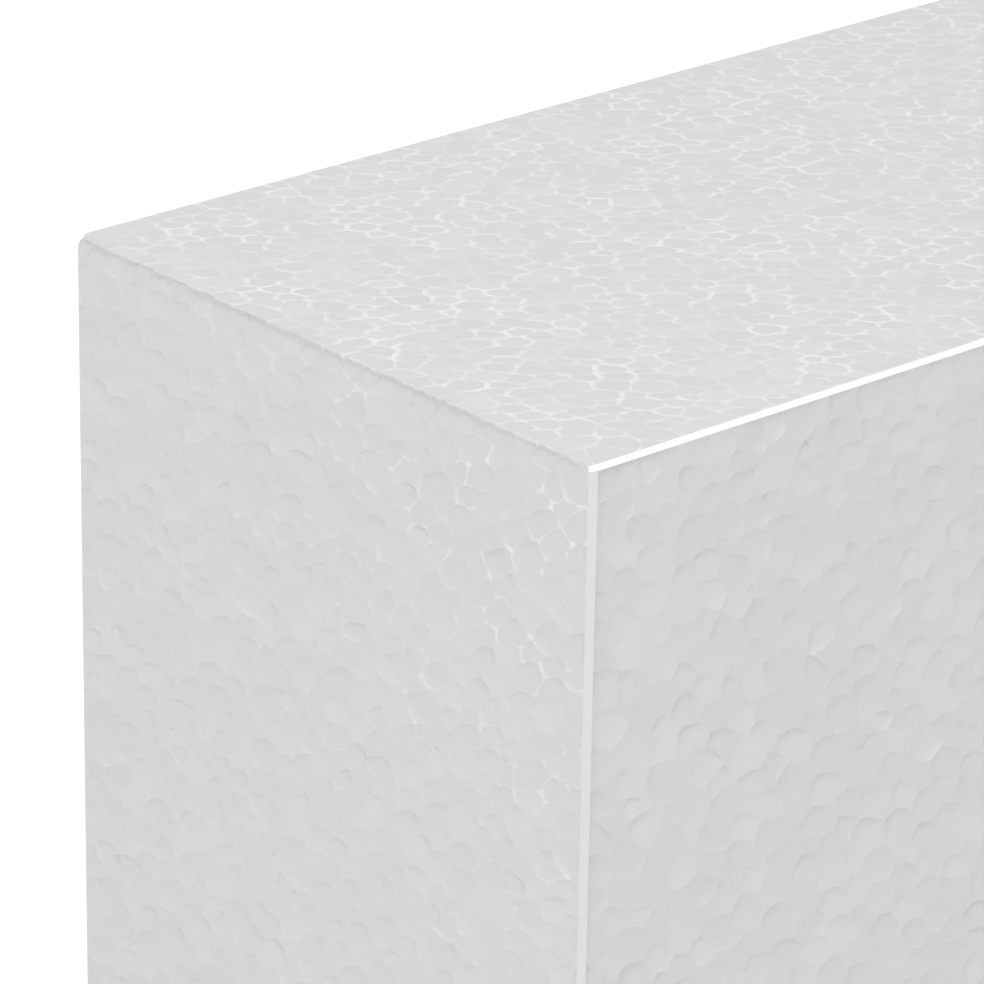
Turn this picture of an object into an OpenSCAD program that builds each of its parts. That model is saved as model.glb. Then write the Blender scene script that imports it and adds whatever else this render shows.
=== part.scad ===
// Block of expanded bead foam, moulded in one piece and solid right through.
// Its edges have small straight bevels. The top edge of the -Y end has none: there the
// outermost beads have crumbled away one by one, less and less towards +X, and the corner at
// its -X end is worn round.
// Millimetres. The block stands on Z = 0 and is centred on X and Y.

/* [Block] */
// Width of the block, along X
block_w = 100; // [60:1:160]
// Length of the block, along Y
block_l = 200; // [100:1:320]
// Height of the block, along Z
block_h = 120; // [60:1:160]

/* [Edge bevels] */
// Leg of the bevel on the four edges along the length
long_bevel = 0.6; // [0.2:0.1:3]
// Leg of the bevel on the four upright edges
upright_bevel = 0.8; // [0.2:0.1:3]
// Leg of the bevel on the edges across the width, all but the crumbled one
cross_bevel = 0.6; // [0.2:0.1:3]

/* [Crumbled edge] */
// Diameter of a foam bead, which is also the distance from socket to socket
bead_d = 3.6; // [3:0.1:6]
// Depth of the shallowest socket behind the end face, beside the worn corner
socket_shallow = 0.45; // [0.3:0.05:0.6]
// Depth of the deepest socket behind the end face, beside the worn corner
socket_deep = 0.9; // [0.6:0.05:1.1]
// Share of their depth that the sockets have lost where they reach the +X side
socket_fade = 0.5; // [0:0.05:0.7]
// Distance from the top down to the middle of the highest socket, as a share of the
// socket's half width on the end face
socket_high = 0.7; // [0.5:0.05:0.8]
// The same for the lowest socket
socket_low = 0.95; // [0.8:0.05:0.95]
// Most that a socket stands off its even place along the edge
socket_stray = 0.35; // [0:0.05:0.4]

/* [Worn corner] */
// Distance that the wear runs from the tip along each of the three edges
wear_run = 3.2; // [2:0.1:3.5]
// Radius of the worn surface, which is part of a ball
wear_r = 5.3; // [5:0.1:12]

/* [Hidden] */
foam_colour = "#DEDEDE";
bead_facets = 48;
wear_facets = 96;
bead_r = bead_d / 2;

// The sockets fill the edge between the wear and half a bead short of the +X side.
socket_span = block_w - wear_run - bead_r;
socket_count = floor(socket_span / bead_d);
socket_start = -block_w / 2 + wear_run + (socket_span - socket_count * bead_d) / 2;

// The middle of the wear's ball lies wear_inset from each of the three faces, so that the
// ball's surface meets every edge at wear_run: (inset - run)^2 + 2 inset^2 = radius^2.
wear_inset = (wear_run + sqrt(3 * pow(wear_r, 2) - 2 * pow(wear_run, 2))) / 3;
// The wear is cut within a cube that ends between wear_run and the ball's middle.
wear_reach = (wear_run + wear_inset) / 2;

// A scattered number from 0 to 1, always the same for the same index and salt
function scatter(index, salt) =
    let (swing = sin(index * 127.1 + salt * 311.7) * 43758.5453)
    swing - floor(swing);

function between(low, high, share) = low + (high - low) * share;

// Rectangle with its lower left corner at the origin. Each corner is cut at 45 degrees by
// its own leg, listed from the lower left corner anticlockwise. A leg of 0 stays square.
module cut_rectangle(width, height, legs) {
    lower_left = legs[0];
    lower_right = legs[1];
    upper_right = legs[2];
    upper_left = legs[3];
    polygon(concat(
        lower_left == 0 ? [[0, 0]] : [[0, lower_left], [lower_left, 0]],
        lower_right == 0 ? [[width, 0]] : [[width - lower_right, 0], [width, lower_right]],
        upper_right == 0 ? [[width, height]]
            : [[width, height - upper_right], [width - upper_right, height]],
        upper_left == 0 ? [[0, height]] : [[upper_left, height], [0, height - upper_left]]
    ));
}

// Section across the length, extruded along Y: it cuts the long edges
module long_prism() {
    legs = [long_bevel, long_bevel, long_bevel, long_bevel];
    translate([-block_w / 2, block_l / 2, 0])
        rotate([90, 0, 0])
            linear_extrude(block_l) cut_rectangle(block_w, block_h, legs);
}

// Section seen from above, extruded along Z: it cuts the upright edges
module upright_prism() {
    legs = [upright_bevel, upright_bevel, upright_bevel, upright_bevel];
    translate([-block_w / 2, -block_l / 2, 0])
        linear_extrude(block_h) cut_rectangle(block_w, block_l, legs);
}

// Section seen from the side, extruded along X: it cuts the cross edges, and leaves the
// top edge of the -Y end square
module cross_prism() {
    legs = [cross_bevel, cross_bevel, cross_bevel, 0];
    translate([-block_w / 2, -block_l / 2, 0])
        rotate([90, 0, 90])
            linear_extrude(block_w) cut_rectangle(block_l, block_h, legs);
}

module bevelled_block() {
    intersection() {
        long_prism();
        upright_prism();
        cross_prism();
    }
}

// One ball for each bead that has come out of the top edge of the -Y end. Its socket has a
// half width of sqrt(2 radius depth - depth^2) on the end face.
module bead_sockets() {
    for (index = [0 : socket_count - 1]) {
        full_depth = between(socket_shallow, socket_deep, scatter(index, 1));
        depth = full_depth * (1 - socket_fade * index / socket_count);
        half_width = sqrt(2 * bead_r * depth - pow(depth, 2));
        drop = between(socket_high, socket_low, scatter(index, 2)) * half_width;
        stray = between(-socket_stray, socket_stray, scatter(index, 3));
        translate([
            socket_start + (index + 0.5) * bead_d + stray,
            -block_l / 2 - bead_r + depth,
            block_h - drop
        ])
            sphere(r = bead_r, $fn = bead_facets);
    }
}

// What the wear takes off the -X, -Y top corner: a small cube over the corner, less the ball
module lost_corner() {
    translate([-block_w / 2, -block_l / 2, block_h])
        difference() {
            translate([-wear_reach, -wear_reach, -wear_reach]) cube(2 * wear_reach);
            translate([wear_inset, wear_inset, -wear_inset]) sphere(r = wear_r, $fn = wear_facets);
        }
}

module foam_block() {
    color(foam_colour)
        difference() {
            bevelled_block();
            bead_sockets();
            lost_corner();
        }
}

foam_block();
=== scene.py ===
"""A block of expanded bead foam, standing on a pale studio floor.

The block is one closed mesh. Each of its six faces is a packing of beads: a bead's cell is the
part of the face that lies nearer to its middle than to any other bead's, and inside its cell each
bead has its own tilt, depth and dish. Strips carry the skin round the edges from face to face.
"""
import math

import bpy
import numpy as np
from mathutils import Matrix, Vector


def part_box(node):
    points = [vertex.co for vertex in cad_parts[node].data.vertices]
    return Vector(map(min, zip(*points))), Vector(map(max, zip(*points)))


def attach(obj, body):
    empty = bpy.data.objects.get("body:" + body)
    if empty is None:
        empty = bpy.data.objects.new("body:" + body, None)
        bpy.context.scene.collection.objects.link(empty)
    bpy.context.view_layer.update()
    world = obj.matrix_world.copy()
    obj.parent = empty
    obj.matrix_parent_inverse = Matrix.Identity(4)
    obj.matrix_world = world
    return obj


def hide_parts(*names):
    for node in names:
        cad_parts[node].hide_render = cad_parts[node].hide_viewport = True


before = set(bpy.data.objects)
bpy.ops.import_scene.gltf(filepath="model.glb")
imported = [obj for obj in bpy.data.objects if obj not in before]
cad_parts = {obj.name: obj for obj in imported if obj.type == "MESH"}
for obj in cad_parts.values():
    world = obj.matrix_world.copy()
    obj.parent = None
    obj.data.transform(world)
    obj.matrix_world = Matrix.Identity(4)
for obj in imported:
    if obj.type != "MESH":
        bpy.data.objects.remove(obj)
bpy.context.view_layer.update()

MM = 0.001
SEED = 41
ROUNDING = 1e-6
AXIS_X, AXIS_Y, AXIS_Z = np.eye(3)
BLOCK_LOW, BLOCK_HIGH = (np.array(corner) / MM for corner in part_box("foam_block"))

# All the lengths below are in millimetres.
# The legs of the bevels are the part's. The arris is what stands for one on the crumbled edge.
LONG_BEVEL = 0.6
UPRIGHT_BEVEL = 0.8
CROSS_BEVEL = 0.6
ARRIS = 0.01

# The balls of the lost beads and of the worn corner, as on the part
SOCKET_PITCH = 3.6
SOCKET_DEPTHS = (0.45, 0.9)
SOCKET_FADE = 0.5
SOCKET_DROPS = (0.7, 0.95)
SOCKET_STRAY = 0.35
WEAR_RUN = 3.2
WEAR_RADIUS = 5.3

# How a lost bead's hollow is shaped inside: how far its roof slants, how far down the roof comes
# as a share of its ball's drop and how much that wanders, how deep its foot is, how much its
# walls take off, and how deep it is at the least
SOCKET_SLANT = 0.5
OVERHANG = 0.95
OVERHANG_STRAY = 0.25
SOCKET_LEDGE = 0.22
SOCKET_WALL = 0.25
SHALLOWEST = 0.02

# The top's skin over the lost beads: how thick it is, how far in it has moved back, how far from
# the front edge it is whole again, how ragged its edge is, and by what the distance from a ball
# counts less along the edge, which makes the bites wide
SKIN = 0.12
SKIN_REACH = 2.5
SKIN_END = 1.5 * UPRIGHT_BEVEL
JAG = 0.14
SOCKET_SPREAD = 0.77

# How far the beads below have settled, how far down, and over what length they come back up
# towards the front edge
SETTLED = 0.28
SETTLED_REACH = 8.0
SETTLED_END = 5.0

# Where a face dips at the start of its width: it begins, is deepest and ends here. The beads at
# its start keep this share of their tone, a painted shade for the shadow by the upright bevel.
SUNK_REACH = (0, 1.6, 12)
PAINTED_SHADE_SHARE = 0.2

# Few beads are deeply dished: a number drawn evenly is raised to this power. The dish goes on
# past the bead's radius, up to this share of its square.
DISH_POWER = 1.5
DISH_END = 1.5

# The places that get the crumbled beads' finer mesh: this far below the crumbled edge, or this
# near the worn corner's tip. The side's step is the distance between points along a crease.
CRUMBLED_REACH = 3.4
CRUMBLED_CORNER = 5
CRUMBLED_STEP = 0.42

# Middles that are given: how far in from the crumbled edge the top's row lies, and how
# far below its ball's middle each hollow's lies
TOP_ROW = 1.4
BELOW_BALL = 0.4

# How beads make room for each other: how far outside the face a middle may start as a share of
# the pitch, the closest that two beads may be as a share of their radii, the share of what they
# lack that each one gives way, how far inside the face they stay as a share of their radius, and
# how many times that is done
OUTSIDE = 0.22
CLOSEST = 0.92
GIVE = 0.35
INSIDE = 0.6
SETTLING_TURNS = 8

# The beads that are mirrored in a side are those within this many pitches of it, and a cell is
# cut by this many of its neighbours at the most. No side is shorter than the shortest side. A
# bow is at most these shares of its side's length and of its cells' flattest corner.
MIRRORED = 2.5
NEIGHBOURS = 26
SHORTEST_SIDE = 0.45
MOST_BOW = 0.2
CORNER_BOW = 0.125

# How near a side, as a share of the pitch, a bead's middle lies for it to be one of the border's,
# and how far a bead's middle counts as lying from its rim, as a share of its radius
BORDER = 0.7
HUB_RIM = 0.85

# How deep the pits where three beads meet and the slits between two are, and how far from a
# face's sides the grooves between its beads get their full depth
PIT = 0.15
SLIT = 0.2
GROOVE_START = 2.5

# How far from an upright bevel the top's corners are squeezed, and how far down such a bevel
# carries the painted highlight of the edge above it, near-white colour for the light it catches
TRIM_SLACK = 0.4
PAINTED_HIGHLIGHT_END = 0.75

# Where each face's corner lies on the map for baking, and the map's size
MAP_SPOTS = ((206, 3), (3, 3), (206, 208), (3, 128), (310, 208), (3, 252))
MAP_SIZE = 412


# ---------------------------------------------------------------- beads on a rectangle


def turned(degrees):
    """The matrix whose rows are a direction, in degrees from the width, and the one across it"""
    a = math.radians(degrees)
    return np.array([[math.cos(a), math.sin(a)], [-math.sin(a), math.cos(a)]])


def stretching(finish):
    """The matrix that takes evenly round beads to the face's: it lengthens them along the rows by
    the root of the stretch and shortens them across by as much."""
    rows = turned(finish.turn)
    return rows.T @ np.diag([finish.stretch**0.5, finish.stretch**-0.5]) @ rows


def wall_slant(finish):
    """How far the side between two beads that lie side by side moves along per unit up"""
    back = np.linalg.inv(stretching(finish))
    stiff = back @ back
    return -stiff[0, 1] / stiff[0, 0]


def bead_rows(width, height, finish, rng):
    """Bead middles in close-packed rows. From the rectangle's middle, bead i of row j is at
    (i + s/4) gaps along the rows and j gaps across, where s is 1 on even rows and -1 on odd ones.
    It then strays by up to the given share of the gaps. The gaps are the pitch times the root of
    the stretch, and sqrt(3)/2 of the pitch over that root."""
    size = np.array([width, height])
    gap = finish.pitch * np.array([finish.stretch**0.5, math.sqrt(0.75) / finish.stretch**0.5])
    count = int(math.hypot(width, height) / 2 / gap.min()) + 2
    j, i = np.indices((2 * count + 1, 2 * count + 1)) - count
    steps = np.stack([i + np.where(j % 2, -0.25, 0.25), j], -1).reshape(-1, 2)
    steps = steps + rng.uniform(-finish.stray, finish.stray, steps.shape)
    place = (steps * gap) @ turned(finish.turn) + size / 2
    beside = OUTSIDE * finish.pitch
    return place[((place > -beside) & (place < size + beside)).all(1)]


def push_apart(middles, radii, fixed, width, height, finish):
    """Where two beads lie closer than they may, with the stretch taken out, each gives way by a
    share of what they lack, some turns over. All stay well inside the rectangle, and the first
    beads, as many as are fixed, don't move."""
    grain = stretching(finish)
    back = np.linalg.inv(grain)
    gap = CLOSEST * (radii[:, None] + radii[None])
    inside = INSIDE * radii[:, None]
    for _ in range(SETTLING_TURNS):
        even = middles @ back
        between = even[:, None] - even[None]
        distance = np.hypot(between[..., 0], between[..., 1])
        np.fill_diagonal(distance, np.inf)
        lack = np.clip(gap - distance, 0, None) / distance
        moved = middles + GIVE * (between * lack[..., None]).sum(1) @ grain
        moved = np.clip(moved, inside, np.array([width, height]) - inside)
        middles = np.concatenate([middles[:fixed], moved[fixed:]])
    return middles


def with_mirror_images(middles, radii, corners, reach):
    """The beads, followed by the mirror image in each of the four sides between the corners, in
    order round, of those within reach of it. A cell then ends exactly on the sides."""
    found, sizes = [middles], [radii]
    for start, end in zip(corners, np.roll(corners, -1, 0)):
        run = (end - start) / np.linalg.norm(end - start)
        normal = np.array([-run[1], run[0]])
        inside = (middles - start) @ normal
        near = inside < reach
        found.append(middles[near] - 2 * inside[near, None] * normal)
        sizes.append(radii[near])
    return np.concatenate(found), np.concatenate(sizes)


def cell_corners(middles, radii, everything, all_radii):
    """The corners of the cells. A place's farness from a bead is the square of its distance
    less the square of the bead's radius. A corner lies where a bead and two neighbours are
    equally far and no other is less far. Returns the corners' places, and for each bead and
    corner that belong together a row of bead number and corner number, in order round each."""
    apart = ((middles[:, None] - everything[None]) ** 2).sum(-1)
    apart[np.arange(len(middles)), np.arange(len(middles))] = np.inf
    near = np.argpartition(apart, NEIGHBOURS, axis=1)[:, :NEIGHBOURS]
    to = everything[near] - middles[:, None]
    surplus = radii[:, None] ** 2 - all_radii[near] ** 2
    first, second = np.triu_indices(NEIGHBOURS, 1)
    b, c = to[:, first], to[:, second]
    with np.errstate(divide="ignore", invalid="ignore"):
        area = 2 * (b[..., 0] * c[..., 1] - b[..., 1] * c[..., 0])
        bb = (b**2).sum(-1) + surplus[:, first]
        cc = (c**2).sum(-1) + surplus[:, second]
        x = (c[..., 1] * bb - b[..., 1] * cc) / area
        y = (b[..., 0] * cc - c[..., 0] * bb) / area
        centre = np.stack([x, y], -1)
        own = (centre**2).sum(-1)
        others = ((centre[:, :, None] - to[:, None]) ** 2).sum(-1) + surplus[:, None]
        empty = others.min(-1) > own - ROUNDING
    bead, pair = np.nonzero(empty & np.isfinite(own))
    three = np.stack([bead, near[bead, first[pair]], near[bead, second[pair]]], 1)
    triple, where, corner = np.unique(
        np.sort(three, 1), axis=0, return_index=True, return_inverse=True
    )
    places = (middles[bead] + centre[bead, pair])[where]
    round_bead = np.arctan2(centre[bead, pair][:, 1], centre[bead, pair][:, 0])
    order = np.lexsort([round_bead, bead])
    return places, np.stack([bead, corner.ravel()], 1)[order]


def following(bead):
    """For rows sorted by bead, the number of the row that comes next round the same bead."""
    last = np.append(bead[1:] != bead[:-1], True)
    start = np.concatenate([[0], np.flatnonzero(last)[:-1] + 1])
    after = np.arange(1, len(bead) + 1)
    after[np.flatnonzero(last)] = start
    return after


def on_sides(places, width, height):
    """A number for each place that says which of the rectangle's sides it lies on: 1 left,
    2 right, 4 bottom and 8 top, added up, or 0 for none."""
    u, v = places[:, 0], places[:, 1]
    near = ROUNDING * 10
    tests = [u < near, u > width - near, v < near, v > height - near]
    return sum(test * 2**power for power, test in enumerate(tests))


def merged_corners(places, rows, width, height):
    """Joins corners that are closer along a cell's side than the shortest side allowed, if both
    lie on the same sides of the rectangle. A joined corner is the mean of its members."""
    after = following(rows[:, 0])
    here, there = rows[:, 1], rows[after, 1]
    length = np.linalg.norm(places[here] - places[there], axis=1)
    side = on_sides(places, width, height)
    short = (length < SHORTEST_SIDE) & (side[here] == side[there]) | (length < ROUNDING * 10)
    label = np.arange(len(places))
    while True:
        before = label.copy()
        lower = np.minimum(label[here[short]], label[there[short]])
        np.minimum.at(label, here[short], lower)
        np.minimum.at(label, there[short], lower)
        if (before == label).all():
            break
    kept, label = np.unique(label, return_inverse=True)
    count = np.bincount(label)
    joined = np.stack([np.bincount(label, axis) / count for axis in places.T], 1)
    rows = np.stack([rows[:, 0], label[rows[:, 1]]], 1)
    stays = rows[:, 1] != rows[following(rows[:, 0]), 1]
    return joined, rows[stays]


# ---------------------------------------------------------------- one face of the block


class Face:
    """One flat face, as a rectangle from origin along two directions, in millimetres."""

    def __init__(self, name, origin, along, up, width, height, finish, set_beads=None,
                 set_depths=(), set_drops=()):
        self.name, self.finish = name, finish
        self.origin, self.along, self.up = origin, along, up
        self.out = np.cross(along, up)
        self.width, self.height = width, height
        self.set_beads = np.zeros((0, 2)) if set_beads is None else set_beads
        self.set_depths, self.set_drops = np.array(set_depths), np.array(set_drops)

    def space(self, flat, raised):
        """origin + u along + v up + raised out"""
        return (
            self.origin
            + flat[:, :1] * self.along
            + flat[:, 1:2] * self.up
            + raised[:, None] * self.out
        )


def block_faces():
    """The six faces, each set in from the block's edges by the leg of the bevel there."""
    x0, y0, z0 = BLOCK_LOW
    x1, y1, z1 = BLOCK_HIGH
    w, l, h = BLOCK_HIGH - BLOCK_LOW
    side_w, side_h = l - 2 * UPRIGHT_BEVEL, h - 2 * LONG_BEVEL
    flat_w = w - 2 * LONG_BEVEL
    end_w = w - 2 * UPRIGHT_BEVEL
    balls, depths = sockets()
    on_top = np.stack([balls[:, 0] - x0 - LONG_BEVEL, np.full(len(balls), TOP_ROW)], 1)
    below = z1 - balls[:, 2] + BELOW_BALL
    on_end = np.stack([balls[:, 0] - x0 - UPRIGHT_BEVEL - wall_slant(END) * below,
                       z1 - below - z0 - CROSS_BEVEL], 1)

    def corner(x, y, z):
        return np.array([x, y, z], float)

    return [
        Face("top", corner(x0 + LONG_BEVEL, y0 + ARRIS, z1), AXIS_X, AXIS_Y,
             flat_w, l - ARRIS - CROSS_BEVEL, TOP, on_top),
        Face("near_side", corner(x1, y0 + UPRIGHT_BEVEL, z0 + LONG_BEVEL), AXIS_Y, AXIS_Z,
             side_w, side_h, SIDE),
        Face("near_end", corner(x0 + UPRIGHT_BEVEL, y0, z0 + CROSS_BEVEL), AXIS_X, AXIS_Z,
             end_w, h - CROSS_BEVEL - ARRIS, END, on_end, depths, z1 - balls[:, 2]),
        Face("far_side", corner(x0, y1 - UPRIGHT_BEVEL, z0 + LONG_BEVEL), -AXIS_Y, AXIS_Z,
             side_w, side_h, FAR_SIDE),
        Face("far_end", corner(x1 - UPRIGHT_BEVEL, y1, z0 + CROSS_BEVEL), -AXIS_X, AXIS_Z,
             end_w, h - 2 * CROSS_BEVEL, FAR_END),
        Face("underside", corner(x0 + LONG_BEVEL, y0 + CROSS_BEVEL, z0), AXIS_Y, AXIS_X,
             l - 2 * CROSS_BEVEL, flat_w, UNDERSIDE),
    ]


class Finish:
    """How the beads of a face lie. Lengths are in millimetres and slopes are rises over runs."""

    def __init__(self, material, pitch, stray, sizes, side_step, rings, turn=0, stretch=1, depth=0,
                 lean=(0, 0), lean_spread=0, dish=0, sunk_border=0, sunk_start=0, groove=0,
                 bulge=0, pits=0, slits=0):
        self.material, self.pitch, self.stray, self.sizes = material, pitch, stray, sizes
        self.turn, self.stretch = turn, stretch
        self.side_step, self.rings, self.depth, self.dish = side_step, rings, depth, dish
        self.lean, self.lean_spread = lean, lean_spread
        self.sunk_border, self.sunk_start = sunk_border, sunk_start
        self.groove, self.bulge, self.pits, self.slits = groove, bulge, pits, slits


# A ring's share of the way to the bead's middle, and whether it keeps all the crease's points
CRUMBLED_RINGS = ((0.12, True), (0.28, True), (0.46, True), (0.7, True))
# The pressed finish is partly real, a glossier melted skin, and partly painted highlight: its
# near-white colour stands for the light on the bevels.
MOULDED, SCALY, FINE, PRESSED_WITH_PAINTED_HIGHLIGHT, SOFTENED = range(5)
TOP = Finish(MOULDED, 3.5, 0.45, 0.23, 1.9, ((0.14, True),), turn=48, stretch=1.45, depth=0.03,
             dish=0.02, groove=0.035, bulge=5)
SIDE = Finish(SCALY, 4.6, 0.42, 0.17, 1.7, ((0.15, True), (0.6, False)), turn=-32, stretch=1.43,
              depth=0.15, lean=(0.008, -0.014), lean_spread=0.025, dish=0.075, sunk_border=0.05,
              sunk_start=0.16, bulge=5, pits=0.012, slits=0.002)
END = Finish(FINE, 4.15, 0.42, 0.19, 1.2, ((0.15, True), (0.6, False)), turn=30, stretch=1.64,
             depth=0.12, lean=(0.004, -0.01), lean_spread=0.02, dish=0.06, bulge=5, pits=0.015)
FAR_SIDE = Finish(SCALY, 4.6, 0.42, 0.17, 9, ((0.12, True),), turn=-32, stretch=1.43, depth=0.15,
                  lean=(0.008, -0.014), lean_spread=0.025, dish=0.075)
FAR_END = Finish(FINE, 4.15, 0.42, 0.19, 9, ((0.12, True),), turn=30, stretch=1.64, depth=0.12,
                 lean=(0.004, -0.01), lean_spread=0.02, dish=0.06)
UNDERSIDE = Finish(MOULDED, 3.8, 0.36, 0.16, 9, (), turn=-48, stretch=1.3)


class Skin:
    """The mesh of one face: places on the flat, how far each is raised, and the triangles."""

    def __init__(self, face, rng):
        finish = face.finish
        self.face = face
        width, height = face.width, face.height
        middles = bead_rows(width, height, finish, rng)
        fixed = len(face.set_beads)
        grain = stretching(finish)
        back = np.linalg.inv(grain)
        to_set = np.linalg.norm((middles[:, None] - face.set_beads[None]) @ back, axis=2)
        middles = middles[to_set.min(1, initial=np.inf) > INSIDE * finish.pitch]
        middles = np.concatenate([face.set_beads, middles])
        spread = np.clip(rng.normal(0, finish.sizes, len(middles)), -2 * finish.sizes, 2 * finish.sizes)
        radii = finish.pitch / 2 * (1 + spread)
        radii[:fixed] = SOCKET_PITCH / 2
        middles = push_apart(middles, radii, fixed, width, height, finish)
        outline = np.array([[0, 0], [width, 0], [width, height], [0, height]]) @ back
        images = with_mirror_images(middles @ back, radii, outline, MIRRORED * finish.pitch)
        corners, rows = cell_corners(middles @ back, radii, *images)
        corners, rows = merged_corners(corners @ grain, rows, width, height)
        self.middles, self.radii = middles, radii
        self.shape_beads(rng)
        self.lay_sides(corners, rows)
        self.raise_creases(rng)
        self.fill_cells()

    def shape_beads(self, rng):
        """Draws each bead's depth, lean, dish and tone. Beads along the border lie deeper by the
        sunk border. Few are light: the tone is the square of a number drawn evenly from 0 to 1,
        and a fifth of that where the face dips at its start, a painted shade for the shadow there."""
        finish, count = self.face.finish, len(self.middles)
        border = np.minimum(self.middles, [self.face.width, self.face.height] - self.middles).min(1)
        self.bead_depth = finish.depth * rng.random(count)
        self.bead_depth += finish.sunk_border * (border < BORDER * finish.pitch)
        self.bead_lean = np.array(finish.lean) + rng.normal(0, 1, (count, 2)) * finish.lean_spread
        self.bead_dish = finish.dish * rng.random(count) ** DISH_POWER
        self.bead_tone = rng.random(count) ** 2
        # Painted shade: the beads by the upright bevel are darkened in colour for the shadow beside it.
        self.bead_tone[self.middles[:, 0] < finish.sunk_start * SUNK_REACH[2]] *= PAINTED_SHADE_SHARE

    def bead_height(self, bead, flat):
        """Height of a bead's surface at a place: -depth + lean . r - dish (1 - r^2 / R^2), where r
        is the place from the bead's middle and R its radius. It is cut flat at the face. Where
        the width starts, the whole face dips by the sunk start and comes back slowly."""
        r = flat - self.middles[bead]
        share = (r**2).sum(1) / self.radii[bead] ** 2
        height = -self.bead_depth[bead] + (self.bead_lean[bead] * r).sum(1)
        height = np.minimum(height - self.bead_dish[bead] * (1 - np.minimum(share, DISH_END)), 0)
        height -= self.face.finish.sunk_start * np.interp(flat[:, 0], SUNK_REACH, (0, 1, 0))
        if len(self.face.set_depths):
            under = np.clip(1 - (self.face.height - flat[:, 1]) / SETTLED_REACH, 0, 1)
            height -= SETTLED * under * np.clip((self.face.width - flat[:, 0]) / SETTLED_END, 0, 1)
        lost = bead < len(self.face.set_depths)
        aside = r[:, 0] - wall_slant(self.face.finish) * r[:, 1]
        height[lost] = -self.socket_depth(bead[lost], aside[lost], flat[lost, 1])
        return height

    def socket_depth(self, bead, aside, up):
        """Depth of a lost bead's hollow at a place. It slants in under the skin to its full depth
        over the overhang's height, then eases off evenly to a ledge at its foot. Sideways it
        loses the cube of the share of the way to its wall, times the wall's depth. The overhang
        wanders as sin(2.6 aside + 5 bead)."""
        face = self.face
        depth, drop = face.set_depths[bead], face.set_drops[bead]
        down = face.height + ARRIS - up
        overhang = drop * OVERHANG + OVERHANG_STRAY * np.sin(2.6 * aside + 5 * bead)
        slant = SOCKET_SLANT * np.clip(1 - down / overhang, 0, 1)
        eased = (depth - SOCKET_LEDGE) * np.clip((down - overhang) / (SOCKET_PITCH - overhang), 0, 1)
        foot = np.clip((SOCKET_PITCH - down) / (SOCKET_PITCH - overhang), 0, 1)
        wall = SOCKET_WALL * np.abs(2 * aside / SOCKET_PITCH) ** 3 * foot
        return np.clip(depth - slant - eased - wall, SHALLOWEST, None)

    def lay_sides(self, corners, rows):
        """Divides the sides of the cells and bows each one towards the bead that stands higher
        there: a point at share s of the side moves by 4 s (1 - s) of the bow. The bow is the
        step in height times the bulge, and is limited so that it stays flatter than the lines
        from the side's ends to the cells' middles."""
        face, finish = self.face, self.face.finish
        bead, start = rows.T
        after = following(bead)
        end = start[after]
        low, high = np.minimum(start, end), np.maximum(start, end)
        side, first, self.row_side = np.unique(
            low * len(corners) + high, return_index=True, return_inverse=True
        )
        last = np.zeros(len(side), int)
        last[self.row_side] = np.arange(len(rows))
        a, b = corners[low[first]], corners[high[first]]
        run = b - a
        length = np.linalg.norm(run, axis=1)
        middle = (a + b) / 2
        step = np.where(self.is_crumbled(middle), CRUMBLED_STEP, finish.side_step)
        self.parts = np.maximum(np.round(length / step).astype(int), 1)
        rise = self.bead_height(bead[last], middle) - self.bead_height(bead[first], middle)
        rise = np.where(bead[first] == bead[last], 0, rise)
        normal = np.stack([run[:, 1], -run[:, 0]], 1) / length[:, None]
        towards = self.middles[bead[last]] - self.middles[bead[first]]
        normal *= np.sign((normal * towards).sum(1))[:, None]
        corner_count = np.bincount(bead)
        hub = np.stack([np.bincount(bead, axis) / corner_count for axis in corners[start].T], 1)
        ray = hub[bead[[first, last]]] - a
        past = (ray * run).sum(2) / length
        away = np.abs(ray[..., 0] * run[:, 1] - ray[..., 1] * run[:, 0]) / length
        flattest = (away / np.maximum(past, length - past)).min(0)
        most = length * np.minimum(MOST_BOW, CORNER_BOW * flattest)
        bow = np.clip(finish.bulge * rise, -most, most)
        self.extra = self.parts - 1
        self.extra_start = len(corners) + np.concatenate([[0], np.cumsum(self.extra)[:-1]])
        owner = np.repeat(np.arange(len(side)), self.extra)
        number = np.arange(len(owner)) - np.repeat(self.extra_start - len(corners), self.extra) + 1
        share = (number / self.parts[owner])[:, None]
        aside = bow[owner, None] * 4 * share * (1 - share)
        points = a[owner] + run[owner] * share + normal[owner] * aside
        self.flat = np.concatenate([corners, points])
        self.junction = np.concatenate([np.ones(len(corners)), np.zeros(len(points))])
        self.row_bead, self.row_start = bead, start
        self.row_forward = start == low

    def is_crumbled(self, flat):
        """Whether a place lies near the edge whose beads have crumbled, or near the worn corner."""
        place = self.face.space(flat, np.zeros(len(flat)))
        x, y, z = (place - [BLOCK_LOW[0], BLOCK_LOW[1], BLOCK_HIGH[2]]).T
        near_edge = (np.abs(y) < 2 * ARRIS) & (z > -CRUMBLED_REACH)
        near_corner = np.linalg.norm([x, y, z], axis=0) < CRUMBLED_CORNER
        return near_edge | near_corner

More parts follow.
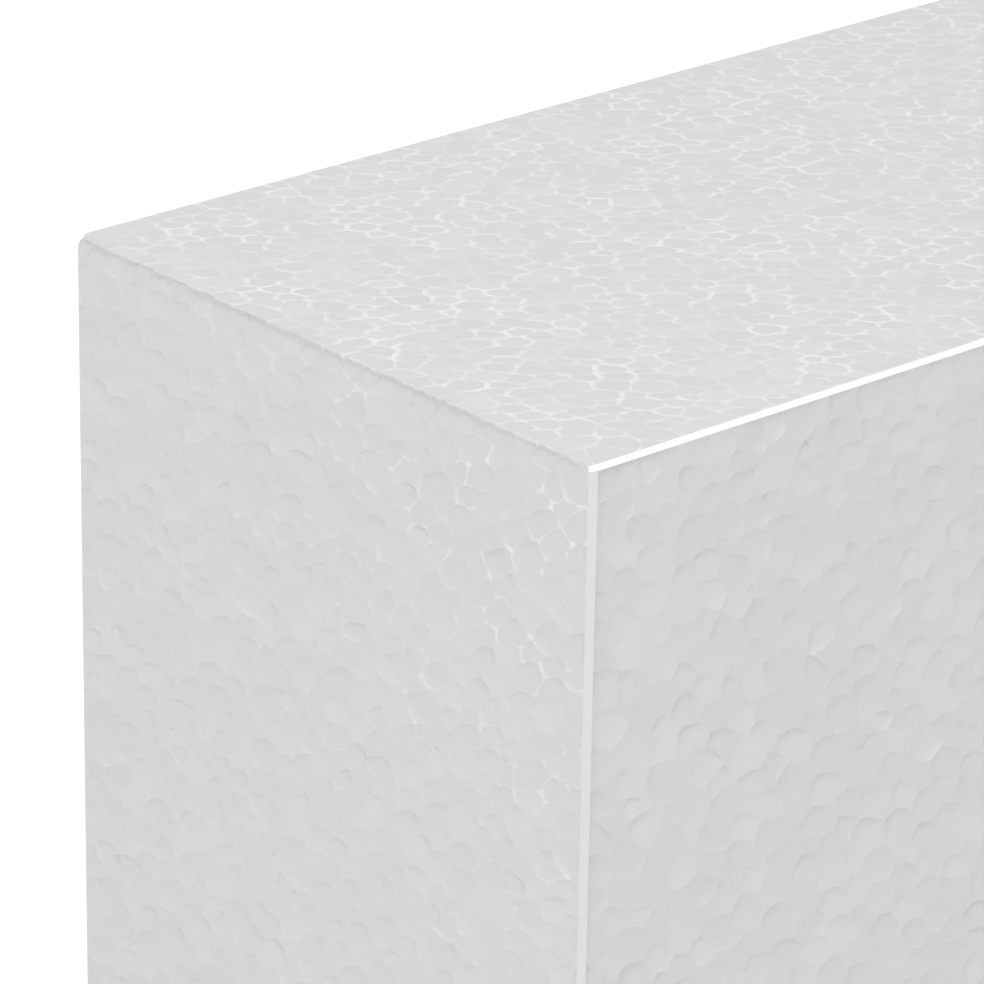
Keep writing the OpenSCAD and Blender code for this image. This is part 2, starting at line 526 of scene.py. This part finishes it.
    def raise_creases(self, rng):
        """Finds where the cells' rings run, point by point, and the height of each point on them.
        A point stands at the greatest height that the beads meeting there have at that point."""
        finish = self.face.finish
        count = self.parts[self.row_side]
        row = np.repeat(np.arange(len(count)), count)
        number = np.arange(len(row)) - np.repeat(np.cumsum(count) - count, count)
        side = self.row_side[row]
        along = np.where(self.row_forward[row], number - 1, self.extra[side] - number)
        self.ring_point = np.where(number == 0, self.row_start[row], self.extra_start[side] + along)
        self.ring_bead = self.row_bead[row]
        self.ring_number = number
        self.ring_late = 2 * number > count[row]
        height = np.full(len(self.flat), -np.inf)
        own = self.bead_height(self.ring_bead, self.flat[self.ring_point])
        np.maximum.at(height, self.ring_point, own)
        pitted = (rng.random(len(height)) < finish.pits) & (self.junction > 0)
        slit = np.repeat(rng.random(len(self.extra)) < finish.slits, self.extra)
        slit = np.concatenate([np.zeros(len(height) - len(slit), bool), slit])
        inset = np.minimum(self.flat, [self.face.width, self.face.height] - self.flat).min(1)
        height -= finish.groove * np.clip(inset / GROOVE_START, 0, 1) + pitted * PIT + slit * SLIT
        border = on_sides(self.flat, self.face.width, self.face.height) > 0
        self.height = np.where(border, 0.0, height)
        self.rim = np.zeros(len(self.flat))

    def add_points(self, flat, height, rim, junction):
        """Adds points to the face and returns their numbers."""
        numbers = np.arange(len(self.flat), len(self.flat) + len(flat))
        self.flat = np.concatenate([self.flat, flat])
        self.height = np.concatenate([self.height, height])
        self.rim = np.concatenate([self.rim, rim])
        self.junction = np.concatenate([self.junction, junction])
        return numbers

    def fill_cells(self):
        """Fills the cells, those along the crumbled edge more finely than the others."""
        crease = self.flat[self.ring_point]
        points = np.bincount(self.ring_bead)
        self.hub = np.stack([np.bincount(self.ring_bead, axis) / points for axis in crease.T], 1)
        self.triangles, self.owners = [], []
        crumbly = self.is_crumbled(self.hub)
        self.fill(crumbly, CRUMBLED_RINGS)
        self.fill(~crumbly, self.face.finish.rings)
        self.triangles = np.concatenate(self.triangles)
        self.tone = self.bead_tone[np.concatenate(self.owners)]

    def fill(self, chosen, rings):
        """Fills the chosen beads' cells from their creases inwards. A ring's point lies at the
        ring's share of the way from the crease to the cell's middle. Where a ring keeps only the
        corners' points, each outer point is joined to the nearer corner's. The last ring is
        joined to the middle by a fan."""
        all_rows = (self.ring_bead, self.ring_point, self.ring_number, self.ring_late)
        bead, outer, number, late = (row[chosen[self.ring_bead]] for row in all_rows)
        if not len(bead):
            return
        crease, corner = self.flat[outer], self.junction[outer]
        for share, keeps_all in rings:
            keep = np.ones(len(bead), bool) if keeps_all else number == 0
            after, anchor = following(bead), np.cumsum(keep) - 1
            if not keeps_all:
                anchor = np.where(late, following(bead[keep])[anchor], anchor)
            flat = (crease + (self.hub[bead] - crease) * share)[keep]
            rim = share * np.linalg.norm(self.hub[bead] - crease, axis=1)[keep]
            height = self.bead_height(bead[keep], flat)
            inner = self.add_points(flat, height, rim, corner[keep] * (1 - 2 * share))
            self.triangles.append(np.stack([outer, outer[after], inner[anchor]], 1))
            self.owners.append(bead)
            turn = np.flatnonzero(anchor[after] != anchor)
            across = np.stack([outer[after], inner[anchor[after]], inner[anchor]], 1)
            self.triangles.append(across[turn])
            self.owners.append(bead[turn])
            bead, outer, crease, corner = bead[keep], inner, crease[keep], corner[keep]
            number, late = number[keep], late[keep]
        own = np.unique(bead)
        middle = np.zeros(len(self.hub), int)
        height = self.bead_height(own, self.hub[own])
        rim = HUB_RIM * self.radii[own]
        middle[own] = self.add_points(self.hub[own], height, rim, np.zeros(len(own)))
        self.triangles.append(np.stack([outer, outer[following(bead)], middle[bead]], 1))
        self.owners.append(bead)


# ---------------------------------------------------------------- wear


def scatter(index, salt):
    """A scattered number from 0 to 1: the part of 43758.5453 sin(127.1 index + 311.7 salt), in
    degrees, that comes after its whole number. The part's sockets are placed by the same rule."""
    swing = np.sin(np.radians(index * 127.1 + salt * 311.7)) * 43758.5453
    return swing - np.floor(swing)


def sockets():
    """The middles of the balls that the lost beads left along the top edge of the near end, and
    how deep each lies behind the end face. Ball i of n has depth (low + (high - low) share)
    (1 - fade i / n), and lies a share of its socket's half width below the top. That half width
    is sqrt(2 r depth - depth^2)."""
    x0, y0, z1 = BLOCK_LOW[0], BLOCK_LOW[1], BLOCK_HIGH[2]
    span = BLOCK_HIGH[0] - x0 - WEAR_RUN - SOCKET_PITCH / 2
    count = int(span / SOCKET_PITCH)
    index = np.arange(count)
    start = x0 + WEAR_RUN + (span - count * SOCKET_PITCH) / 2
    radius = SOCKET_PITCH / 2

    def between(limits, salt):
        return limits[0] + (limits[1] - limits[0]) * scatter(index, salt)

    depth = between(SOCKET_DEPTHS, 1) * (1 - SOCKET_FADE * index / count)
    half_width = np.sqrt(2 * radius * depth - depth**2)
    x = start + (index + 0.5) * SOCKET_PITCH + between((-SOCKET_STRAY, SOCKET_STRAY), 3)
    return np.stack([x, y0 - radius + depth, z1 - between(SOCKET_DROPS, 2) * half_width], 1), depth


def crumbled(place):
    """Cuts the top's skin back where a lost bead's ball reaches through it: its edge moves back
    along Y to the ball's surface, and the skin behind moves by less, down to nothing at the
    skin's reach. The edge is ragged as 1 + sin(5.1 x) sin(1.9 x + 1)."""
    y0, z1 = BLOCK_LOW[1], BLOCK_HIGH[2]
    middle = sockets()[0]
    radius = SOCKET_PITCH / 2
    across = (SOCKET_SPREAD * (place[:, :1] - middle[:, 0])) ** 2 + (place[:, 2:] - middle[:, 2]) ** 2
    back = middle[:, 1] + np.sqrt(np.clip(radius**2 - across, 0, None)) - y0
    push = np.where(across < radius**2, back, 0).clip(0).max(1)
    ragged = 1 + np.sin(5.1 * place[:, 0]) * np.sin(1.9 * place[:, 0] + 1)
    push += JAG / 2 * ragged
    fade = np.clip(1 - (place[:, 1] - y0) / SKIN_REACH, 0, 1) * (place[:, 2] > z1 - SKIN)
    fade *= np.clip(BLOCK_HIGH[0] - SKIN_END - place[:, 0], 0, 1)
    moved = place.copy()
    moved[:, 1] += push * fade
    return moved


def trimmed(place):
    """Draws in the top's two corners on the crumbled edge, so that they end on the bevels of the
    upright edges. The top overshoots the bevel there, and what lies past it, or up to the slack
    short of it, is squeezed into the slack."""
    overshoot = UPRIGHT_BEVEL - LONG_BEVEL - ARRIS
    flat = place[:, :2]
    past = (np.abs(flat).sum(1) - BLOCK_HIGH[:2].sum() + UPRIGHT_BEVEL + TRIM_SLACK).clip(0)
    move = past[:, None] * overshoot / (overshoot + TRIM_SLACK) / 2
    return np.concatenate([flat - np.sign(flat) * move, place[:, 2:]], 1)


def worn(place):
    """Moves what lies over the worn corner's ball straight towards the ball's middle, onto it."""
    inset = (WEAR_RUN + math.sqrt(3 * WEAR_RADIUS**2 - 2 * WEAR_RUN**2)) / 3
    tip = np.array([BLOCK_LOW[0], BLOCK_LOW[1], BLOCK_HIGH[2]])
    middle = tip + np.array([inset, inset, -inset])
    ray = place - middle
    distance = np.linalg.norm(ray, axis=1)
    over = ((np.sign(tip - middle) * ray) > 0).all(1) & (distance > WEAR_RADIUS)
    return np.where(over[:, None], middle + ray * (WEAR_RADIUS / distance)[:, None], place)


# ---------------------------------------------------------------- the whole block


def zipped(first, second, along):
    """Triangles between two rows of points. Both rows are sorted by their place along the edge,
    and each next point of either row, in that order, makes a triangle with the last of both."""
    a, b = along[first], along[second]
    order = np.argsort(np.concatenate([a[1:], b[1:]]), kind="stable")
    from_first = order < len(a) - 1
    done_first = np.cumsum(from_first) - from_first
    done_second = np.cumsum(~from_first) - ~from_first
    tip = np.where(
        from_first,
        first[np.minimum(done_first + 1, len(a) - 1)],
        second[np.minimum(done_second + 1, len(b) - 1)],
    )
    return np.stack([first[done_first], second[done_second], tip], 1)


def facing(triangles, place, outward):
    """The triangles, all turned round if they face away from outward on the whole."""
    p, q, r = (place[triangles[:, i]] for i in range(3))
    turned = (np.cross(q - p, r - p) @ outward).sum() < 0
    return triangles[:, ::-1] if turned else triangles


def closed_block(skins):
    """Joins the faces' meshes with a strip along each of the twelve edges and a triangle at
    each of the eight corners. Returns the places, the triangles and what each carries."""
    start = np.concatenate([[0], np.cumsum([len(skin.flat) for skin in skins])])
    flat_place = [skin.face.space(skin.flat, np.zeros(len(skin.flat))) for skin in skins]
    level = np.concatenate(flat_place)
    place = np.concatenate([skin.face.space(skin.flat, skin.height) for skin in skins])
    place[:start[1]] = trimmed(place[:start[1]])
    border = np.concatenate([on_sides(s.flat, s.face.width, s.face.height) > 0 for s in skins])
    owner = np.repeat(np.arange(len(skins)), [len(skin.flat) for skin in skins])
    outs = np.array([skin.face.out for skin in skins])
    triangles = [skin.triangles + start[i] for i, skin in enumerate(skins)]
    tone = [skin.tone for skin in skins]
    kind = [np.full(len(s.triangles), s.face.finish.material) for s in skins]
    home = [np.full(len(s.triangles), i) for i, s in enumerate(skins)]
    reach = 2 * max(LONG_BEVEL, UPRIGHT_BEVEL, CROSS_BEVEL)

    def close_to(face, out):
        """Border points of a face that lie next to the plane of another."""
        limit = np.where(out > 0, BLOCK_HIGH, BLOCK_LOW) @ np.abs(out)
        gap = np.abs(level @ np.abs(out) - limit)
        mine = (owner == face) & border & (gap < reach)
        return np.flatnonzero(mine & (gap < gap[mine].min() + 10 * ROUNDING))

    for i in range(6):
        for j in range(i + 1, 6):
            if outs[i] @ outs[j]:
                continue
            edge = np.abs(np.cross(outs[i], outs[j]))
            along = level @ edge
            rows = [close_to(i, outs[j]), close_to(j, outs[i])]
            rows = [row[np.argsort(along[row])] for row in rows]
            strip = facing(zipped(*rows, along), place, outs[i] + outs[j])
            crumbly = {skins[i].face.name, skins[j].face.name} == {"top", "near_end"}
            triangles.append(strip)
            home.append(np.full(len(strip), i))
            tone.append(np.full(len(strip), 0.0 if crumbly else 0.5))
            upright = abs(outs[i][2]) + abs(outs[j][2]) == 0
            finish = np.full(len(strip), FINE if crumbly else SOFTENED if upright else PRESSED_WITH_PAINTED_HIGHLIGHT)
            # Painted highlight: these edge strips, and the top of the upright bevel on the right, get
            # the near-white pressed finish.
            under_highlighted_edge = place[strip].mean(1)[:, 2] > BLOCK_HIGH[2] - PAINTED_HIGHLIGHT_END
            to_right = (outs[i] + outs[j])[0] > 0
            kind.append(np.where(upright & under_highlighted_edge & to_right, PRESSED_WITH_PAINTED_HIGHLIGHT, finish))
    for x in (-1, 1):
        for y in (-1, 1):
            for z in (-1, 1):
                outward = np.array([x, y, z])
                near = [i for i in range(6) if outs[i] @ outward > 0]
                tips = [start[i] + np.argmax((flat_place[i] * outward).sum(1)) for i in near]
                triangles.append(facing(np.array([tips]), place, outward))
                home.append(near[:1])
                tone.append(np.full(1, 0.5))
                # The corner triangles get the near-white pressed finish too, a painted highlight.
                kind.append(np.full(1, PRESSED_WITH_PAINTED_HIGHLIGHT))
    place = worn(crumbled(place))
    rim = np.concatenate([skin.rim for skin in skins])
    junction = np.concatenate([skin.junction for skin in skins])
    tone, kind, home = (np.concatenate(rows) for rows in (tone, kind, home))
    return place, np.concatenate(triangles), tone, kind, home, rim, junction


def new_mesh(name, place, triangles):
    mesh = bpy.data.meshes.new(name)
    mesh.vertices.add(len(place))
    mesh.vertices.foreach_set("co", (place * MM).astype(np.float32).ravel())
    mesh.loops.add(triangles.size)
    mesh.loops.foreach_set("vertex_index", triangles.astype(np.int32).ravel())
    mesh.polygons.add(len(triangles))
    mesh.polygons.foreach_set("loop_start", np.arange(0, triangles.size, 3, dtype=np.int32))
    mesh.update(calc_edges=True)
    mesh.validate()
    return mesh


def write_values(mesh, name, kind, domain, values):
    layer = mesh.attributes.new(name, kind, domain)
    layer.data.foreach_set("value", values)


def crease_edges(mesh, triangles, kind, rim):
    """Marks edges that the light should break on: where the finish changes, the creases between
    the beads of a rough face, and folds past a right angle. There the outward directions of the
    two triangles add up to a length whose square is less than 2."""
    count = len(mesh.edges)
    loop_edge = np.empty(len(mesh.loops), np.int32)
    mesh.loops.foreach_get("edge_index", loop_edge)
    ends = np.empty(count * 2, np.int32)
    mesh.edges.foreach_get("vertices", ends)
    ends = ends.reshape(-1, 2)
    loop_kind = np.repeat(kind, 3)
    least, most = np.full(count, 99), np.full(count, -1)
    np.minimum.at(least, loop_edge, loop_kind)
    np.maximum.at(most, loop_edge, loop_kind)
    on_crease = (rim[ends] == 0).all(1) & np.isin(least, [SCALY, FINE])
    outward = np.empty(triangles.size, np.float32)
    mesh.polygons.foreach_get("normal", outward)
    both = np.zeros((count, 3))
    np.add.at(both, loop_edge, np.repeat(outward.reshape(-1, 3), 3, axis=0))
    folded = (both**2).sum(1) < 2
    write_values(mesh, "sharp_edge", "BOOLEAN", "EDGE", (least != most) | on_crease | folded)


def unfold(mesh, faces, place, triangles, home):
    """The map for baking: the six faces lie side by side, each in its own spot of the sheet."""
    flat = np.empty((len(triangles), 3, 2))
    for i, face in enumerate(faces):
        ray = place[triangles[home == i]] - face.origin
        flat[home == i] = np.stack([ray @ face.along, ray @ face.up], -1) + MAP_SPOTS[i]
    layer = mesh.uv_layers.new(name="OFBake")
    layer.data.foreach_set("uv", (flat / MAP_SIZE).astype(np.float32).ravel())


def foam_block():
    rng = np.random.default_rng(SEED)
    faces = block_faces()
    skins = [Skin(face, rng) for face in faces]
    place, triangles, tone, kind, home, rim, junction = closed_block(skins)
    mesh = new_mesh("bead_foam_block", place, triangles)
    unfold(mesh, faces, place, triangles, home)
    mesh.polygons.foreach_set("use_smooth", np.ones(len(triangles), bool))
    mesh.polygons.foreach_set("material_index", kind.astype(np.int32))
    crease_edges(mesh, triangles, kind, rim)
    write_values(mesh, "rim", "FLOAT", "POINT", rim.astype(np.float32))
    write_values(mesh, "junction", "FLOAT", "POINT", junction.astype(np.float32))
    write_values(mesh, "tone", "FLOAT", "FACE", tone.astype(np.float32))
    block = bpy.data.objects.new("bead_foam_block", mesh)
    bpy.context.scene.collection.objects.link(block)
    print("triangles", {s.face.name: len(s.triangles) for s in skins}, "in all", len(triangles))
    return block


# ---------------------------------------------------------------- materials


def colour(hexadecimal):
    """sRGB hex to linear: c / 12.92 below 0.04045, and ((c + 0.055) / 1.055) ^ 2.4 above."""
    parts = [int(hexadecimal[i:i + 2], 16) / 255 for i in (1, 3, 5)]
    return [c / 12.92 if c <= 0.04045 else ((c + 0.055) / 1.055) ** 2.4 for c in parts] + [1.0]


def add(tree, kind, settings=None, out=0, **links):
    """Adds a node and returns one of its outputs, by number or name, if it has any. settings are
    the node's properties. links are its inputs, by name or by number after an i, and each is
    another node's output or a plain value."""
    node = tree.nodes.new(kind)
    for name, value in (settings or {}).items():
        setattr(node, name, value)
    for name, value in links.items():
        socket = node.inputs[int(name[1:]) if name[1:].isdigit() else name.replace("_", " ")]
        if isinstance(value, bpy.types.NodeSocket):
            tree.links.new(value, socket)
        else:
            socket.default_value = value
    return node.outputs[out] if node.outputs else None


def material(name):
    made = bpy.data.materials.new(name)
    made.use_nodes = True
    made.node_tree.nodes.clear()
    return made, made.node_tree


STEPPED = {"interpolation_type": "SMOOTHSTEP"}
TIMES = {"operation": "MULTIPLY"}
TIMES_PLUS = {"operation": "MULTIPLY_ADD"}
COLOURS = {"data_type": "RGBA"}
SWELL = 0.4

# The sizes of the finishes' patterns, in millimetres: the breaks in a seam, shorter than a bead's
# side, the patches where seams come and go, two or three beads across, and how a bead is wrinkled
# and pillowed. The foam's own cells are too fine to show: the wrinkles stand for them, coarser.
BREAKS = 1.3
PATCHES = 9
WRINKLES = 0.5
PILLOWS = 1.6


def bead_foam(name, cell, seam=None, seam_width=0.1, node_width=0.6, soft=0.12,
              patches=(0.4, 0.6), strength=(0.2, 1.0), gathered=None, roughness=0.6, grain=0.02,
              mottle=0.0):
    """Expanded polystyrene. cell gives the colours of its darkest and lightest beads and seam
    that of the seams between beads. These widen from the seam width to the node width where
    three beads meet, by the square of the nearness, and come and go in patches. Where gathered
    is given, they grow stronger from one value of x + z to another. The grain and the mottle are
    the heights of a fine and a coarse unevenness. All lengths are in mm."""
    made, tree = material(name)
    place = add(tree, "ShaderNodeTexCoord", out="Object")
    tone = add(tree, "ShaderNodeAttribute", {"attribute_name": "tone"}, "Fac")
    base = add(tree, "ShaderNodeMix", COLOURS, 2, i0=tone, i6=colour(cell[0]), i7=colour(cell[1]))
    if seam:
        rim = add(tree, "ShaderNodeAttribute", {"attribute_name": "rim"}, "Fac")
        junction = add(tree, "ShaderNodeAttribute", {"attribute_name": "junction"}, "Fac")
        squared = add(tree, "ShaderNodeMath", TIMES, i0=junction, i1=junction)
        gaps = add(tree, "ShaderNodeTexNoise", Vector=place, Scale=1 / (BREAKS * MM), Detail=1.0)
        swelling = add(tree, "ShaderNodeMath", TIMES_PLUS, i0=gaps, i1=SWELL, i2=seam_width - SWELL / 2)
        width = add(tree, "ShaderNodeMath", TIMES_PLUS, i0=squared, i1=node_width, i2=swelling)
        outer = add(tree, "ShaderNodeMath", i0=width, i1=soft)
        inner = add(tree, "ShaderNodeMath", i0=width, i1=-soft)
        line = add(tree, "ShaderNodeMapRange", STEPPED, Value=rim, From_Min=outer, From_Max=inner)
        blotch = add(tree, "ShaderNodeTexNoise", Vector=place, Scale=1 / (PATCHES * MM), Detail=3.0)
        patch = add(tree, "ShaderNodeMapRange", STEPPED, Value=blotch, From_Min=patches[0],
                    From_Max=patches[1], To_Min=strength[0], To_Max=strength[1])
        broken = add(tree, "ShaderNodeMapRange", STEPPED, Value=gaps, From_Min=0.3, From_Max=0.62,
                     To_Min=0.25, To_Max=1.0)
        shown = add(tree, "ShaderNodeMath", TIMES, i0=line, i1=patch)
        shown = add(tree, "ShaderNodeMath", TIMES, i0=shown, i1=broken)
        if gathered:
            place_xz = add(tree, "ShaderNodeVectorMath", {"operation": "DOT_PRODUCT"}, "Value",
                           i0=place, i1=(1, 0, 1))
            nearness = add(tree, "ShaderNodeMapRange", Value=place_xz, From_Min=gathered[0] * MM,
                           From_Max=gathered[1] * MM, To_Min=0.3, To_Max=1.5)
            shown = add(tree, "ShaderNodeMath", TIMES, i0=shown, i1=nearness)
        base = add(tree, "ShaderNodeMix", COLOURS, 2, i0=shown, i6=base, i7=colour(seam))
    fine = add(tree, "ShaderNodeTexNoise", Vector=place, Scale=1 / (WRINKLES * MM), Detail=2.0)
    coarse = add(tree, "ShaderNodeTexNoise", Vector=place, Scale=1 / (PILLOWS * MM), Detail=2.0)
    wrinkled = add(tree, "ShaderNodeMath", TIMES, i0=fine, i1=grain * MM)
    uneven = add(tree, "ShaderNodeMath", TIMES_PLUS, i0=coarse, i1=mottle * MM, i2=wrinkled)
    bump = add(tree, "ShaderNodeBump", Height=uneven, Distance=1.0, Strength=1.0)
    shader = add(tree, "ShaderNodeBsdfPrincipled", Base_Color=base, Roughness=roughness, IOR=1.59,
                 Normal=bump)
    add(tree, "ShaderNodeOutputMaterial", Surface=shader)
    return made


block = foam_block()
FINISHES = (
    # The moulded face, where the mould pressed the beads flat and their seams shine whiter
    bead_foam("polystyrene_moulded_face", ("#D6D6D6", "#DBDBDB"), "#EEEEEE", 0.07, 0.52, 0.2,
              patches=(0.36, 0.62), strength=(0.25, 0.85)),
    # The long sides, where beads broke away from their neighbours and left scales
    bead_foam("polystyrene_scaly_face", ("#DADADA", "#DEDEDE"), mottle=0.1),
    # The ends, with finer scales and a few bright seams
    bead_foam("polystyrene_fine_face", ("#DBDBDB", "#DEDEDE"), "#F0F0F0", 0.05, 0.55,
              patches=(0.44, 0.62), strength=(0.0, 0.65), gathered=(80, 150), mottle=0.14),
    # The pressed edges, where the beads melted into a smooth, glossier skin; their near-white colour is
    # a painted highlight for the light that the bevels catch
    bead_foam("polystyrene_pressed_edge_painted_highlight", ("#FCFCFC", "#FCFCFC"), roughness=0.3, grain=0.0),
    # The upright edges, softened by heat but not white
    bead_foam("polystyrene_softened_edge", ("#E0E0E0", "#E0E0E0"), roughness=0.5),
)
for finish in FINISHES:
    block.data.materials.append(finish)
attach(block, "root")
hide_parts("foam_block")


# ---------------------------------------------------------------- studio


def seen_rays(tree):
    """1 for the rays that show a thing to the camera, straight or by gloss or through it, else 0"""
    camera_ray = add(tree, "ShaderNodeLightPath", out="Is Camera Ray")
    gloss = add(tree, "ShaderNodeLightPath", out="Is Glossy Ray")
    through = add(tree, "ShaderNodeLightPath", out="Is Transmission Ray")
    either = add(tree, "ShaderNodeMath", {"operation": "MAXIMUM"}, i0=camera_ray, i1=gloss)
    return add(tree, "ShaderNodeMath", {"operation": "MAXIMUM"}, i0=either, i1=through)


def camera_white(name, base, strength):
    """A studio white: matt to the lamps, with a glow that only the camera and gloss see."""
    made, tree = material(name)
    glow = add(tree, "ShaderNodeMath", TIMES, i0=seen_rays(tree), i1=strength)
    shader = add(tree, "ShaderNodeBsdfPrincipled", Base_Color=colour(base), Roughness=0.9,
                 Emission_Color=colour("#FFFFFF"), Emission_Strength=glow)
    add(tree, "ShaderNodeOutputMaterial", Surface=shader)
    return made


def studio_floor(half):
    """A pale sheet on z = 0 that reaches half its width each way, in metres."""
    mesh = bpy.data.meshes.new("studio_floor")
    corners = [(-half, -half, 0), (half, -half, 0), (half, half, 0), (-half, half, 0)]
    mesh.from_pydata(corners, [], [(0, 1, 2, 3)])
    floor = bpy.data.objects.new("studio_floor", mesh)
    bpy.context.scene.collection.objects.link(floor)
    mesh.materials.append(camera_white("studio_floor_paper", "#E6E6E6", 0.4))


def studio_world(light):
    world = bpy.data.worlds.new("studio_world")
    bpy.context.scene.world = world
    world.use_nodes = True
    tree = world.node_tree
    tree.nodes.clear()
    strength = add(tree, "ShaderNodeMapRange", Value=seen_rays(tree), To_Min=light, To_Max=1.0)
    back = add(tree, "ShaderNodeBackground", Color=colour("#FFFFFF"), Strength=strength)
    add(tree, "ShaderNodeOutputWorld", Surface=back)


def softbox(name, towards, distance, size, power):
    """A square lamp at a distance from its aim, a point in the block 50 mm above the floor."""
    lamp = bpy.data.lights.new(name, "AREA")
    lamp.size = size
    lamp.energy = power
    holder = bpy.data.objects.new(name, lamp)
    aim = Vector((0, 0, 0.05))
    direction = Vector(towards).normalized()
    holder.location = aim + direction * distance
    holder.rotation_mode = "QUATERNION"
    holder.rotation_quaternion = direction.to_track_quat("Z", "Y")
    bpy.context.scene.collection.objects.link(holder)


def camera(azimuth, elevation, roll, distance, aside, above, lens):
    """A camera that faces the block's front top corner. It stands at the corner + aside right +
    above up + distance back, in metres, where right, up and back are its own directions."""
    a, e, r = (math.radians(angle) for angle in (azimuth, elevation, roll))
    back = Vector((math.sin(a) * math.cos(e), -math.cos(a) * math.cos(e), math.sin(e)))
    level = Vector((math.cos(a), math.sin(a), 0))
    right = level * math.cos(r) + back.cross(level) * math.sin(r)
    up = back.cross(right)
    corner = Vector((BLOCK_HIGH[0], BLOCK_LOW[1], BLOCK_HIGH[2])) * MM
    data = bpy.data.cameras.new("camera")
    data.lens = lens
    holder = bpy.data.objects.new("camera", data)
    place = corner + right * aside + up * above + back * distance
    turn = Matrix((right, up, back)).transposed().to_4x4()
    holder.matrix_world = Matrix.Translation(place) @ turn
    bpy.context.scene.collection.objects.link(holder)
    bpy.context.scene.camera = holder


studio_floor(half=3.0)
studio_world(light=0.75)
softbox("key_softbox", towards=(0.39, -0.47, 0.79), distance=1.6, size=0.9, power=8.1)
camera(azimuth=48.66, elevation=22.92, roll=0.95, distance=0.6757, aside=-0.0118, above=-0.0028,
       lens=212)
bpy.context.scene.view_settings.view_transform = "Standard"
